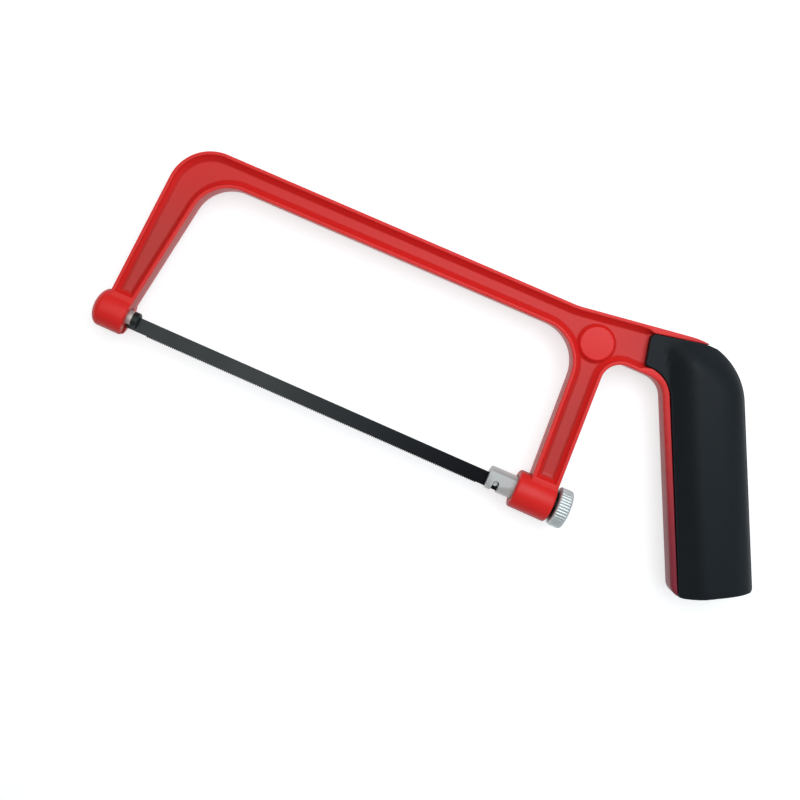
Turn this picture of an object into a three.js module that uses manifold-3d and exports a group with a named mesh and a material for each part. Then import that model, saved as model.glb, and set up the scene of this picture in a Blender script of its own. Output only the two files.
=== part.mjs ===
// Junior hacksaw with a cast pistol-grip frame.
//
// Millimetres. While it is being built, X runs along the blade from the front pin to the rear pin,
// Y runs from the teeth towards the spine, Z = 0 is the middle of the blade and of the frame, and
// Y = 0 is the axis of the two bosses. The finished saw lies flat on its side: at the end the whole
// group is moved so that its box is centred on the origin and stands on Z = 0.

import * as THREE from 'three';
import { mergeVertices } from 'three/addons/utils/BufferGeometryUtils.js';
import Module from 'manifold-3d';

const wasm = await Module();
wasm.setup();

// ---------------------------------------------------------------- driving dimensions

const seam = 0.25;               // clearance between pieces that are fixed to each other
const runningGap = 0.3;          // clearance around pieces that turn, slide or lift out

// blade
const pinSpan = 150;             // front pin to rear pin
const bladeWidth = 5.9;
const bladeThickness = 0.65;
const bladeTail = 1.6;           // blade beyond the centre of each pin
const bladeDrop = 1.35;          // centre of the blade below the axis of the bosses
const toothPitch = 0.8;          // about 32 teeth to the inch
const toothDepth = 0.45;
const plainEnd = 7;              // length without teeth at each end, from the pin
const bladeHolePlay = 0.3;       // hole in the blade over its pin
const bladePinDiameter = 1.9;
const bladePinLength = 3.6;

// tensioning gear
const threadPitch = 0.8;
const slackTurns = 2;            // turns of the knob from tight to slack
const threadDiameter = 5;
const frontStudDiameter = 6.2;
const frontStudLip = 0.85;       // metal in front of the pin pocket
const frontStudDepth = 9.5;      // length inside the boss
const rearStudDiameter = 9;
const rearStudFlats = 6.9;       // across the two flats
const rearStudLip = 2.4;
const rearStudDepth = 8;         // length of the flatted bar inside the boss
const knobDiameter = 15.1;
const knobLength = 5.2;
const knobRidges = 36;
const knobRidgeDepth = 0.25;
const knobEndWall = 1.2;
const knobChamfer = 0.9;
const studChamfer = 0.5;
const washerDiameter = 11.4;
const washerThickness = 0.6;
const rollPinDiameter = 2.5;
const rollPinWall = 0.5;
const rollPinLength = 9;
const rollPinSlit = 0.6;

// frame casting
const frameThickness = 10;
const bossDiameter = 14.8;
const frontBossLength = 13.8;
const frontBossGap = 2;          // front pin to the face of the front boss
const frontBossDome = 4;
const rearBossGap = 7;           // rear pin to the face of the rear boss
const rearBossLength = 15.45;
const bossEdge = 1;              // rounding of the boss edges
const throatDepth = 60.6;        // axis of the bosses to the underside of the spine
const spineDepth = 10.4;
const spineRise = 0.54;          // degrees, front to back
const armFootDepth = 9;          // front arm, front to back, at the boss
const armFootInset = 0.7;        // rear edge of the arm inside the face of the boss
const armFrontLean = 3.45;       // degrees that each edge leans
const armRearLean = 8.6;
const armToeSink = 0.4;          // lowest point of that edge, inside the top of the boss
const legFootDepth = 10.75;      // rear leg, front to back, at the boss
const legFootInset = 0.15;       // rear edge of the leg inside the end of the boss
const legFrontLean = 3.28;
const legRearLean = 2.72;
const armFillet = 15;            // inside corner of front arm and spine
const armCorner = 17;            // outside corner
const legFillet = 15.5;
const edgeBevel = 0.7;
const smallCorner = 1;           // radius of the small corners of the casting

// recess in each side of the frame
const rimWidth = 1.4;
const recessDraft = 1.8;         // by which its walls lean in on their way down
const webThickness = 4;
const discDiameter = 12.3;
const discBaseDiameter = 14.9;
const discHeight = 2.2;
const discFromLeg = 5;           // centre of the disc, back from the front edge of the leg
const discBelowTop = 11.5;       // centre of the disc, down from the top edge

// handle
const handleAngle = 26.1;        // degrees that the handle leans back
const handleDepth = 29.9;        // front to back
const handleLength = 81.2;       // front edge, from the finger gap to the bottom
const handleHeel = 79.2;         // back edge, from the same level to the bottom
const handleRise = 8.5;          // degrees that the top edge climbs towards the handle
const handleRiseStart = 5.7;     // start of that climb, ahead of the rear boss
const handleShoulder = 26;       // radius of the top rear corner
const fingerGap = 21.95;         // rear leg to handle at the top of the gap
const fingerGapDrop = 1.55;      // top of the gap below the underside of the spine
const gapFrontFillet = 7.5;
const gapRearFillet = 9;
const toeCorner = 4.5;
const heelCorner = 2;

// grip
const stripDepth = 2.4;          // red strip left at the front of the handle
const stripEnd = 80.9;           // how far that strip could reach down the handle
const gapRim = 2.9;              // red rim over the finger gap
const gripTopRim = 2.5;          // red rim over the grip, at its front end
const gripTopTaper = 3.2;        // degrees by which that rim thins towards the back
const gripFrontSetback = 24.8;   // front end of the grip behind the face of the rear boss,
const gripFrontLevel = 7.3;      // at this height above the finger gap
const gripFrontLean = 12.9;
const gripThickness = 23;
const gripEdgeThickness = 10.8;  // thickness where the shells meet the rims
const gripFlat = 6;              // flat band along the middle of each shell
const gripBackRounding = 7;      // height of the rounding along the back of each shell
const tongueInset = 4.5;         // casting inside the grip, in from the back and the bottom
const tongueRoot = 4;            // how far the tongue reaches into the rest of the casting
const screwDown = [5, 38, 70];   // screws, down the handle
const screwBack = 16.5;          // screws, back from the front edge
const screwDiameter = 3.5;
const screwHeadDiameter = 7;
const screwHeadHeight = 2.3;
const screwSeat = 6;             // underside of the head, out from the middle
const screwReach = 7.5;          // end of the screw, past the middle
const screwSlotWidth = 0.9;      // cross recess in the head
const screwSlotSpread = 0.6;     // its length and its depth, as parts of the head's own

// making the solids
const overrun = 5;               // how far a cut runs past the surface that it opens
const beyond = 400;              // further than any part of the saw
const pinSides = 24;

// sizes that follow from the ones above
const degree = Math.PI / 180;
const travel = threadPitch * slackTurns;
const bossRadius = bossDiameter / 2;
const halfFrame = frameThickness / 2;
const halfWeb = webThickness / 2;
const pinRadius = bladePinDiameter / 2;
const pinSeat = pinRadius + runningGap;
const pinPocket = bladePinLength / 2 + runningGap;
const bladeTop = bladeWidth / 2 - bladeDrop;
const bladeSlot = bladeThickness + 2 * runningGap;
const bladeRoom = -travel - bladeTail - runningGap;   // how far forward the blade may come
const frontFace = -frontBossGap;
const rearFace = pinSpan + rearBossGap;
const rearBossEnd = rearFace + rearBossLength;
const frontStudEnd = pinSeat + frontStudLip;
const rearStudEnd = pinSpan - pinSeat - rearStudLip;
const washerStart = rearBossEnd + runningGap;
const knobStart = washerStart + washerThickness + runningGap;
const threadEnd = knobStart + knobLength - knobEndWall - runningGap;
const rollPinX = frontFace - frontStudDepth / 2;

// ---------------------------------------------------------------- colours and finishes

function finish(colour, roughness, metalness) {
  return new THREE.MeshStandardMaterial({ color: colour, roughness, metalness });
}

const redPaint = finish(0xc8202a, 0.28, 0.1);
const blackRubber = finish(0x26292c, 0.62, 0);
const blueBlackSteel = finish(0x2b3032, 0.42, 0.85);
const zincPlate = finish(0xb9bfbe, 0.36, 0.9);
const brightSteel = finish(0xc4c4c0, 0.3, 1);

// ---------------------------------------------------------------- outlines

// A straight edge through (x, y), heading at an angle, with the metal on its right.
function edge(x, y, heading) {
  const nx = Math.sin(heading * degree);
  const ny = -Math.cos(heading * degree);
  return { nx, ny, c: nx * x + ny * y };
}

// The same edge moved into the metal.
function inset(line, distance) {
  return { nx: line.nx, ny: line.ny, c: line.c + distance };
}

// The corner where two edges meet, and the radius that rounds it.
function corner(a, b, radius = 0) {
  const det = a.nx * b.ny - a.ny * b.nx;
  return { x: (a.c * b.ny - b.c * a.ny) / det, y: (a.nx * b.c - b.nx * a.c) / det, radius };
}

// A closed outline through corners, each one rounded by an arc that touches both of its sides.
function rounded(corners, arcStep = 12) {
  const points = [];
  corners.forEach((here, i) => {
    const at = new THREE.Vector2(here.x, here.y);
    if (!here.radius) {
      points.push(at);
      return;
    }
    const before = corners[(i + corners.length - 1) % corners.length];
    const after = corners[(i + 1) % corners.length];
    const back = new THREE.Vector2(before.x, before.y).sub(at).normalize();
    const ahead = new THREE.Vector2(after.x, after.y).sub(at).normalize();
    const half = Math.acos(THREE.MathUtils.clamp(back.dot(ahead), -1, 1)) / 2;
    const middle = back.clone().add(ahead).normalize();
    const centre = at.clone().addScaledVector(middle, here.radius / Math.sin(half));
    const turn = Math.PI - 2 * half;
    const side = Math.sign(back.cross(ahead));
    const steps = Math.max(2, Math.ceil(turn / (arcStep * degree)));
    for (let k = 0; k <= steps; k += 1) {
      const swing = side * turn * (0.5 - k / steps);
      const spoke = middle.clone().negate().rotateAround(new THREE.Vector2(), swing);
      points.push(centre.clone().addScaledVector(spoke, here.radius));
    }
  });
  return new THREE.Shape(points);
}

function turned(x, y, lean) {
  return edge(x, y, 90 + lean);
}

// The edges of the frame, in the order that they follow each other round its silhouette.
const gapTopY = throatDepth - fingerGapDrop;
const riseStart = rearFace - handleRiseStart;
const spineTopY = (x) => throatDepth + spineDepth + x * Math.tan(spineRise * degree);
const armRearX = frontFace - armFootInset;
const armFront = turned(armRearX - armFootDepth, 0, -armFrontLean);
const spineTop = edge(0, spineTopY(0), spineRise);
const handleTop = edge(riseStart, spineTopY(riseStart), handleRise);
const legRearX = rearBossEnd - legFootInset;
const gapRearX = legRearX - gapTopY * Math.tan(legRearLean * degree) + fingerGap;
const handleFront = edge(gapRearX, gapTopY, 90 + handleAngle);
const handleBack = { nx: -handleFront.nx, ny: -handleFront.ny, c: -handleFront.c - handleDepth };
const gapTop = edge(0, gapTopY, 180);
const legRear = edge(legRearX, 0, legRearLean - 90);
const legFront = turned(legRearX - legFootDepth, 0, legFrontLean);
const spineUnder = edge(0, throatDepth, 180 + spineRise);
const armRear = edge(armRearX, 0, -90 - armRearLean);

// Places on the handle: back from its front edge, and down it from the level of the finger gap.
function onHandle(back, down) {
  const cos = Math.cos(handleAngle * degree);
  const sin = Math.sin(handleAngle * degree);
  return { x: gapRearX + back * cos + down * sin, y: gapTopY + back * sin - down * cos };
}

const toe = onHandle(0, handleLength);
const heel = onHandle(handleDepth, handleHeel);
const bottomHeading = Math.atan2(toe.y - heel.y, toe.x - heel.x) / degree;
const handleBottom = edge(heel.x, heel.y, bottomHeading);

const gripFront = turned(rearFace + gripFrontSetback, gapTopY + gripFrontLevel, gripFrontLean);
const gripCrest = corner(gripFront, inset(handleTop, gripTopRim));
const gripTop = edge(gripCrest.x, gripCrest.y, handleRise + gripTopTaper);

// ---------------------------------------------------------------- solids

function solid(geometry) {
  const bare = geometry.clone();
  bare.deleteAttribute('normal');
  bare.deleteAttribute('uv');
  const merged = mergeVertices(bare, 1e-4);
  return new wasm.Manifold(new wasm.Mesh({
    numProp: 3,
    vertProperties: new Float32Array(merged.attributes.position.array),
    triVerts: new Uint32Array(merged.index.array),
  }));
}

function piece(name, body, material) {
  const mesh = body.getMesh();
  const geometry = new THREE.BufferGeometry();
  geometry.setAttribute('position', new THREE.BufferAttribute(new Float32Array(mesh.vertProperties), 3));
  geometry.setIndex(new THREE.BufferAttribute(new Uint32Array(mesh.triVerts), 1));
  geometry.computeVertexNormals();
  const item = new THREE.Mesh(geometry, material);
  item.name = name;
  return item;
}

// An outline made into a plate between two heights, its edges cut back by a bevel.
function plate(shape, bottom, top, bevel = 0) {
  const geometry = new THREE.ExtrudeGeometry(shape, {
    depth: top - bottom - 2 * bevel,
    bevelEnabled: bevel > 0,
    bevelThickness: bevel,
    bevelSize: bevel,
    bevelOffset: -bevel,
    bevelSegments: 1,
    curveSegments: 8,
  });
  return solid(geometry.translate(0, 0, bottom + bevel));
}

function block(x0, x1, y0, y1, z0, z1) {
  const geometry = new THREE.BoxGeometry(x1 - x0, y1 - y0, z1 - z0);
  return solid(geometry.translate((x0 + x1) / 2, (y0 + y1) / 2, (z0 + z1) / 2));
}

// A round bar along X.
function barX(x0, x1, diameter, y = 0, sides = 40) {
  const geometry = new THREE.CylinderGeometry(diameter / 2, diameter / 2, x1 - x0, sides);
  return solid(geometry.rotateZ(-90 * degree).translate((x0 + x1) / 2, y, 0));
}

// A round bar along Z.
function barZ(x, y, z0, z1, diameter, sides = 28) {
  const geometry = new THREE.CylinderGeometry(diameter / 2, diameter / 2, z1 - z0, sides);
  return solid(geometry.rotateX(90 * degree).translate(x, y, (z0 + z1) / 2));
}

// A body turned about the axis of the bosses: its profile is a list of (radius, x) points.
function turnedX(profile, sides = 44) {
  const points = profile.map(([radius, x]) => new THREE.Vector2(radius, x));
  return solid(new THREE.LatheGeometry(points, sides).rotateZ(-90 * degree));
}

// A quarter of an ellipse from one (radius, x) point to another, flat at the start.
function quarter(radius0, x0, radius1, x1, steps) {
  const points = [];
  for (let k = 0; k <= steps; k += 1) {
    const angle = (k / steps) * 90 * degree;
    points.push([
      radius0 + (radius1 - radius0) * Math.sin(angle),
      x1 + (x0 - x1) * Math.cos(angle),
    ]);
  }
  return points;
}

// ---------------------------------------------------------------- frame casting

function frontBoss() {
  const tip = frontFace - frontBossLength;
  return turnedX([
    ...quarter(0, tip, bossRadius, tip + frontBossDome, 8),
    ...quarter(bossRadius - bossEdge, frontFace, bossRadius, frontFace - bossEdge, 3).reverse(),
    [0, frontFace],
  ]);
}

function rearBoss() {
  return turnedX([
    [0, rearFace],
    ...quarter(bossRadius - bossEdge, rearFace, bossRadius, rearFace + bossEdge, 3),
    ...quarter(bossRadius - bossEdge, rearBossEnd, bossRadius, rearBossEnd - bossEdge, 3).reverse(),
    [0, rearBossEnd],
  ]);
}

function silhouette() {
  const armToe = corner(armRear, edge(0, bossRadius - armToeSink, 180), smallCorner);
  const buried = frontFace - bossEdge;
  return rounded([
    corner(armFront, edge(0, 0, 180)),
    corner(armFront, spineTop, armCorner),
    corner(spineTop, handleTop, handleShoulder),
    corner(handleTop, handleBack, handleShoulder),
    corner(handleBack, handleBottom, heelCorner),
    corner(handleBottom, handleFront, toeCorner),
    corner(handleFront, gapTop, gapRearFillet),
    corner(gapTop, legRear, gapFrontFillet),
    corner(legRear, edge(0, 0, 180)),
    corner(legFront, edge(0, 0, 180)),
    corner(legFront, spineUnder, legFillet),
    corner(spineUnder, armRear, armFillet),
    armToe,
    { x: buried, y: armToe.y - 2 * smallCorner, radius: 0 },
    { x: buried, y: 0, radius: 0 },
  ], 9);
}

// The hollow between the rims of one side: its walls lean in, so that its floor is narrower than its
// mouth all round by the draft.
function recess() {
  const wall = rimWidth + recessDraft;
  const foot = edge(0, bossRadius - bossEdge, 180);
  const gripEnd = { nx: -gripFront.nx, ny: -gripFront.ny, c: -gripFront.c - wall - smallCorner };
  const floor = rounded([
    corner(inset(armFront, wall), inset(foot, wall), smallCorner),
    corner(inset(armFront, wall), inset(spineTop, wall), armCorner - wall),
    corner(inset(spineTop, wall), inset(handleTop, wall), handleShoulder),
    corner(inset(handleTop, wall), inset(gripEnd, wall)),
    corner(inset(gripEnd, wall), inset(gapTop, wall)),
    corner(inset(gapTop, wall), inset(legRear, wall), gapFrontFillet + wall),
    corner(inset(legRear, wall), inset(foot, wall), smallCorner),
    corner(inset(legFront, wall), inset(foot, wall), smallCorner),
    corner(inset(legFront, wall), inset(spineUnder, wall), legFillet + wall),
    corner(inset(spineUnder, wall), inset(armRear, wall), armFillet + wall),
    corner(inset(armRear, wall), inset(foot, wall), smallCorner),
  ]);
  const depth = halfFrame - halfWeb;
  const geometry = new THREE.ExtrudeGeometry(floor, {
    depth: overrun,
    bevelThickness: depth,
    bevelSize: recessDraft,
    bevelSegments: 2,
  });
  return solid(geometry.translate(0, 0, halfWeb + depth));
}

const discX = corner(legFront, handleTop).x + discFromLeg;
const discY = corner(handleTop, edge(discX, 0, 90)).y - discBelowTop;

function disc() {
  const pad = new THREE.CylinderGeometry(discDiameter / 2, discBaseDiameter / 2, discHeight, 48);
  return solid(pad.rotateX(90 * degree).translate(discX, discY, halfWeb + discHeight / 2));
}

// The part of the plan that the grip fills, open at the back and the bottom: the casting stops here,
// and the shells stand back from it by the seam.
function gripRegion(grown, bottom, top) {
  const rim = inset(gripTop, grown);
  const outerBack = inset(handleBack, -overrun);
  const outerBottom = inset(handleBottom, -overrun);
  const outerFront = inset(handleFront, -overrun);
  const strip = inset(handleFront, stripDepth + grown);
  const overGap = inset(gapTop, gapRim + grown);
  const outside = onHandle(-overrun, stripEnd + grown);
  const lip = onHandle(stripDepth + grown, stripEnd + grown);
  return plate(rounded([
    corner(gripFront, rim, 2 * smallCorner),
    corner(rim, outerBack),
    corner(outerBack, outerBottom),
    corner(outerBottom, outerFront),
    { x: outside.x, y: outside.y, radius: 0 },
    { x: lip.x, y: lip.y, radius: 0 },
    corner(strip, overGap, gapRearFillet + gapRim),
    corner(overGap, gripFront, smallCorner),
  ]), bottom, top);
}

// The flat tongue of the casting that the two grip shells close over.
function tongue(grown) {
  const side = tongueInset - grown;
  const start = inset(gripFront, -tongueRoot);
  const front = inset(handleFront, smallCorner);
  const overGap = inset(gapTop, smallCorner);
  return plate(rounded([
    corner(start, inset(handleTop, side)),
    corner(inset(handleTop, side), inset(handleBack, side), handleShoulder - side),
    corner(inset(handleBack, side), inset(handleBottom, side), heelCorner),
    corner(inset(handleBottom, side), front),
    corner(front, overGap, gapRearFillet + smallCorner),
    corner(overGap, start),
  ]), -halfWeb - grown, halfWeb + grown);
}

function frame() {
  let body = plate(silhouette(), -halfFrame, halfFrame, edgeBevel);
  body = body.subtract(gripRegion(0, -frameThickness, frameThickness)).add(tongue(0));
  const hollow = recess();
  body = body.subtract(hollow).subtract(hollow.mirror([0, 0, 1]));
  body = body.add(disc()).add(disc().mirror([0, 0, 1]));
  body = body.add(frontBoss()).add(rearBoss());
  screwDown.forEach((down) => {
    const at = onHandle(screwBack, down);
    body = body.subtract(barZ(at.x, at.y, -frameThickness, frameThickness, screwDiameter + 4 * seam));
  });
  const studStart = frontFace - frontStudDepth - seam;
  const studBore = barX(studStart, frontFace + overrun, frontStudDiameter + 2 * seam);
  const slit = block(bladeRoom, frontFace + overrun, -bossDiameter, bladeTop + runningGap,
    -bladeSlot / 2, bladeSlot / 2);
  const slackPin = block(-pinSeat - travel, frontFace + overrun, -bossDiameter, pinSeat - bladeDrop,
    -pinPocket, pinPocket);
  const pinBore = barZ(rollPinX, 0, -bossDiameter, rollPinLength / 2 + seam, rollPinDiameter + 2 * seam);
  const barBore = flattedBar(rearFace - overrun, rearFace + rearStudDepth + runningGap, runningGap);
  const shankBore = barX(rearFace, rearBossEnd + overrun, threadDiameter + 2 * runningGap);
  return body.subtract(studBore).subtract(slit).subtract(slackPin).subtract(pinBore)
    .subtract(barBore).subtract(shankBore);
}

// ---------------------------------------------------------------- blade and its pins

function bladeOutline() {
  const top = bladeTop;
  const bottom = top - bladeWidth;
  const start = plainEnd;
  const teeth = Math.floor((pinSpan - 2 * plainEnd) / toothPitch);
  const points = [
    new THREE.Vector2(-bladeTail, bottom + toothDepth),
    new THREE.Vector2(start, bottom + toothDepth),
  ];
  for (let k = 0; k < teeth; k += 1) {
    const x = start + k * toothPitch;
    points.push(new THREE.Vector2(x + toothPitch / 4, bottom));
    points.push(new THREE.Vector2(x + toothPitch, bottom + toothDepth));
  }
  points.push(new THREE.Vector2(pinSpan + bladeTail, bottom + toothDepth));
  points.push(new THREE.Vector2(pinSpan + bladeTail, top));
  points.push(new THREE.Vector2(-bladeTail, top));
  return new THREE.Shape(points);
}

function blade() {
  const hole = bladePinDiameter + bladeHolePlay;
  let body = plate(bladeOutline(), -bladeThickness / 2, bladeThickness / 2);
  [0, pinSpan].forEach((x) => {
    body = body.subtract(barZ(x, -bladeDrop, -bladeThickness, bladeThickness, hole, pinSides));
  });
  return body;
}

function bladePin(x) {
  return barZ(x, -bladeDrop, -bladePinLength / 2, bladePinLength / 2, bladePinDiameter, pinSides);
}

// ---------------------------------------------------------------- studs, washer and knob

// The stud in the front boss. Its pocket is open towards the teeth, and long enough for the pin to
// move towards the boss as the blade goes slack.
function frontStud() {
  const radius = frontStudDiameter / 2;
  const body = turnedX([
    [0, frontFace - frontStudDepth],
    [radius, frontFace - frontStudDepth],
    [radius, frontStudEnd - studChamfer],
    [radius - studChamfer, frontStudEnd],
    [0, frontStudEnd],
  ], 36);
  const pocket = block(-pinSeat - travel, pinSeat, -frontStudDiameter, pinSeat - bladeDrop,
    -pinPocket, pinPocket);
  const slit = block(bladeRoom, frontStudEnd + overrun, -frontStudDiameter, bladeTop + runningGap,
    -bladeSlot / 2, bladeSlot / 2);
  const pinBore = barZ(rollPinX, 0, -frontStudDiameter, frontStudDiameter, rollPinDiameter + 2 * seam);
  return body.subtract(pocket).subtract(slit).subtract(pinBore);
}

// A slit spring pin, driven in from the far side of the saw.
function rollPin() {
  const tube = barZ(rollPinX, 0, -rollPinLength / 2, rollPinLength / 2, rollPinDiameter);
  const bore = barZ(rollPinX, 0, -rollPinLength, rollPinLength, rollPinDiameter - 2 * rollPinWall);
  const half = rollPinSlit / 2;
  const slit = block(rollPinX - half, rollPinX + half, 0, rollPinDiameter, -rollPinLength, rollPinLength);
  return tube.subtract(bore).subtract(slit);
}

// A round bar with a flat on each side, or the hole that it slides in.
function flattedBar(x0, x1, grown) {
  const half = rearStudFlats / 2 + grown;
  return barX(x0, x1, rearStudDiameter + 2 * grown)
    .intersect(block(x0 - overrun, x1 + overrun, -rearStudDiameter, rearStudDiameter, -half, half));
}

// The stud that pulls on the blade: a flatted bar, notched across for the rear pin, with a threaded
// shank behind it.
function tensionStud() {
  const barEnd = rearFace + rearStudDepth;
  const radius = rearStudDiameter / 2;
  const shank = threadDiameter / 2;
  const wide = rearStudDiameter;
  const flats = rearStudFlats / 2;
  const body = turnedX([
    [0, rearStudEnd],
    [radius - studChamfer, rearStudEnd],
    [radius, rearStudEnd + studChamfer],
    [radius, barEnd],
    [shank, barEnd],
    [shank, threadEnd - studChamfer],
    [shank - studChamfer, threadEnd],
    [0, threadEnd],
  ], 40);
  const betweenFlats = block(rearStudEnd - overrun, threadEnd + overrun, -wide, wide, -flats, flats);
  const slit = block(rearStudEnd - overrun, pinSpan + bladeTail + runningGap, -wide,
    bladeTop + runningGap, -bladeSlot / 2, bladeSlot / 2);
  const notch = block(pinSpan - pinSeat, pinSpan + pinSeat, -wide, -bladeDrop, -wide, wide);
  const notchEnd = barZ(pinSpan, -bladeDrop, -wide, wide, 2 * pinSeat, pinSides);
  return body.intersect(betweenFlats).subtract(slit).subtract(notch).subtract(notchEnd);
}

function washer() {
  return barX(washerStart, washerStart + washerThickness, washerDiameter)
    .subtract(barX(rearBossEnd, knobStart, threadDiameter + 2 * runningGap));
}

// The knob: a straight knurl with chamfered ends, threaded from the side of the frame.
function knob() {
  const outline = [];
  for (let k = 0; k < 2 * knobRidges; k += 1) {
    const angle = (k / knobRidges) * 180 * degree;
    const radius = knobDiameter / 2 - (k % 2) * knobRidgeDepth;
    outline.push(new THREE.Vector2(radius * Math.cos(angle), radius * Math.sin(angle)));
  }
  const geometry = new THREE.ExtrudeGeometry(new THREE.Shape(outline), {
    depth: knobLength - 2 * knobChamfer,
    bevelThickness: knobChamfer,
    bevelSize: knobChamfer,
    bevelOffset: -knobChamfer,
    bevelSegments: 1,
  });
  const body = solid(geometry.rotateY(90 * degree).translate(knobStart + knobChamfer, 0, 0));
  const boreEnd = knobStart + knobLength - knobEndWall;
  return body.subtract(barX(knobStart - overrun, boreEnd, threadDiameter + 2 * runningGap));
}

// ---------------------------------------------------------------- grip shells and their screws

// Both shells as one body: the outline of the grip, crowned across the handle and under its top edge.
function gripBody() {
  const half = gripThickness / 2;
  return plate(silhouette(), -half, half)
    .intersect(gripRegion(seam, -gripThickness, gripThickness))
    .intersect(crowned(handleFront, stripDepth, gripBackRounding))
    .intersect(crowned(handleTop, 0, 0));
}

// A long bar beside an edge: thin at the edge, and rising to the full thickness of the grip. With a
// rounded back it falls again at the depth of the handle, and otherwise it goes on at full thickness.
function crowned(line, start, backRounding) {
  const half = gripThickness / 2;
  const low = gripEdgeThickness / 2;
  const crest = handleDepth / 2;
  const flatStart = crest - gripFlat / 2;
  const flatEnd = crest + gripFlat / 2;
  const section = new THREE.Shape();
  section.moveTo(-beyond, -low);
  section.lineTo(start, -low);
  section.bezierCurveTo(crest * 0.3, -half * 0.8, crest * 0.6, -half, flatStart, -half);
  section.lineTo(flatEnd, -half);
  if (backRounding) {
    const back = handleDepth + seam;
    const shoulder = half - backRounding;
    section.bezierCurveTo(crest * 1.6, -half, back, -half * 0.85, back, -shoulder);
    section.lineTo(back, shoulder);
    section.bezierCurveTo(back, half * 0.85, crest * 1.6, half, flatEnd, half);
  } else {
    section.lineTo(beyond, -half);
    section.lineTo(beyond, half);
  }
  section.lineTo(flatStart, half);
  section.bezierCurveTo(crest * 0.6, half, crest * 0.3, half * 0.8, start, low);
  section.lineTo(-beyond, low);
  const options = { depth: 2 * beyond, bevelEnabled: false, curveSegments: 7 };
  const geometry = new THREE.ExtrudeGeometry(section, options);
  geometry.translate(0, 0, -beyond).rotateX(90 * degree);
  const heading = Math.atan2(line.ny, line.nx);
  return solid(geometry.rotateZ(heading).translate(line.nx * line.c, line.ny * line.c, 0));
}

function gripShells() {
  const body = gripBody().subtract(tongue(seam));
  let left = body.intersect(block(-beyond, beyond, -beyond, beyond, seam / 2, beyond));
  let right = body.intersect(block(-beyond, beyond, -beyond, beyond, -beyond, -seam / 2));
  const bore = screwDiameter + 2 * seam;
  screwDown.forEach((down) => {
    const at = onHandle(screwBack, down);
    left = left.subtract(barZ(at.x, at.y, -halfWeb, screwReach + seam, bore));
    right = right.subtract(barZ(at.x, at.y, -gripThickness, halfWeb, bore));
    right = right.subtract(barZ(at.x, at.y, -gripThickness, -screwSeat, screwHeadDiameter + 2 * seam));
  });
  return { left, right };
}

// A screw with a low round head and a cross recess, driven from the far side of the saw.
function gripScrew(down) {
  const at = onHandle(screwBack, down);
  const seat = -screwSeat - seam;
  const top = seat - screwHeadHeight;
  const head = barZ(at.x, at.y, top, seat, screwHeadDiameter);
  const shank = barZ(at.x, at.y, (top + seat) / 2, screwReach, screwDiameter, 20);
  const long = screwHeadDiameter * screwSlotSpread / 2;
  const short = screwSlotWidth / 2;
  const bottom = top + screwHeadHeight * screwSlotSpread;
  const slot = block(at.x - long, at.x + long, at.y - short, at.y + short, -gripThickness, bottom);
  const crossSlot = block(at.x - short, at.x + short, at.y - long, at.y + long, -gripThickness, bottom);
  return head.add(shank).subtract(slot).subtract(crossSlot);
}

// ---------------------------------------------------------------- assembly

const saw = new THREE.Group();
saw.name = 'hacksaw';

const shells = gripShells();
saw.add(
  piece('frame', frame(), redPaint),
  piece('front_stud', frontStud(), brightSteel),
  piece('front_stud_pin', rollPin(), zincPlate),
  piece('blade', blade(), blueBlackSteel),
  piece('blade_pin_front', bladePin(0), brightSteel),
  piece('blade_pin_rear', bladePin(pinSpan), brightSteel),
  piece('tension_stud', tensionStud(), brightSteel),
  piece('thrust_washer', washer(), blueBlackSteel),
  piece('tension_knob', knob(), zincPlate),
  piece('grip_shell_left', shells.left, blackRubber),
  piece('grip_shell_right', shells.right, blackRubber),
);
['top', 'middle', 'bottom'].forEach((place, i) => {
  saw.add(piece(`grip_screw_${place}`, gripScrew(screwDown[i]), zincPlate));
});

const box = new THREE.Box3().setFromObject(saw);
saw.position.set(-(box.min.x + box.max.x) / 2, -(box.min.y + box.max.y) / 2, -box.min.z);

export default saw;
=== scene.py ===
# %% [markdown]
# # A junior hacksaw
#
# A small saw for cutting metal. A red cast frame in the shape of a bow holds a thin blade, pinned at
# both ends, and a pistol grip closes over the back of the frame. The exact solids come first, as a
# fixed frame of reference. Every piece made below sits where those solids say.

import math

import bmesh
import bpy
import numpy as np
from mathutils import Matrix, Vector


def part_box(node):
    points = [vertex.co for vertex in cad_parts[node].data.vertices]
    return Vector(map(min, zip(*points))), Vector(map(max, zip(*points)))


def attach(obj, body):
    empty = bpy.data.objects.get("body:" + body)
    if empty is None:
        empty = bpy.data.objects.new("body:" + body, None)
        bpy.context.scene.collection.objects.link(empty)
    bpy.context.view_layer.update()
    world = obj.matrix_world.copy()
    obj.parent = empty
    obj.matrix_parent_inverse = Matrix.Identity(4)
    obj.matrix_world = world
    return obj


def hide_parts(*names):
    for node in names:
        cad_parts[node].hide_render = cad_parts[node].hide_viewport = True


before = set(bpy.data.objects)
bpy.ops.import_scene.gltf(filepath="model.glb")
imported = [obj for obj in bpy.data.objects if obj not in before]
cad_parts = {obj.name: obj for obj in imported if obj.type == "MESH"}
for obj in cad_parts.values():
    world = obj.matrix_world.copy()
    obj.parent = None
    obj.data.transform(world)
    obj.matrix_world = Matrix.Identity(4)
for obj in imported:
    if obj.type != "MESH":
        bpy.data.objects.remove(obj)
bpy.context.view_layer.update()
print("solids:", sorted(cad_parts))

# %% [markdown]
# ## A frame to draw in
#
# A saw is easiest to draw with X along its blade, Y towards its spine and Z out of its side, in
# millimetres, with zero on the axis of the two bosses, level with the front pin. The pin itself says
# where that is in the scene: its centre lies a little below the axis, because the blade does.

# %% From millimetres on the saw to metres in the scene
BLADE_DROP = 1.35

low, high = (np.array(c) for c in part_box("blade_pin_front"))
ORIGIN = (low + high) / 2 + np.array([0, BLADE_DROP, 0]) / 1000


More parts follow.
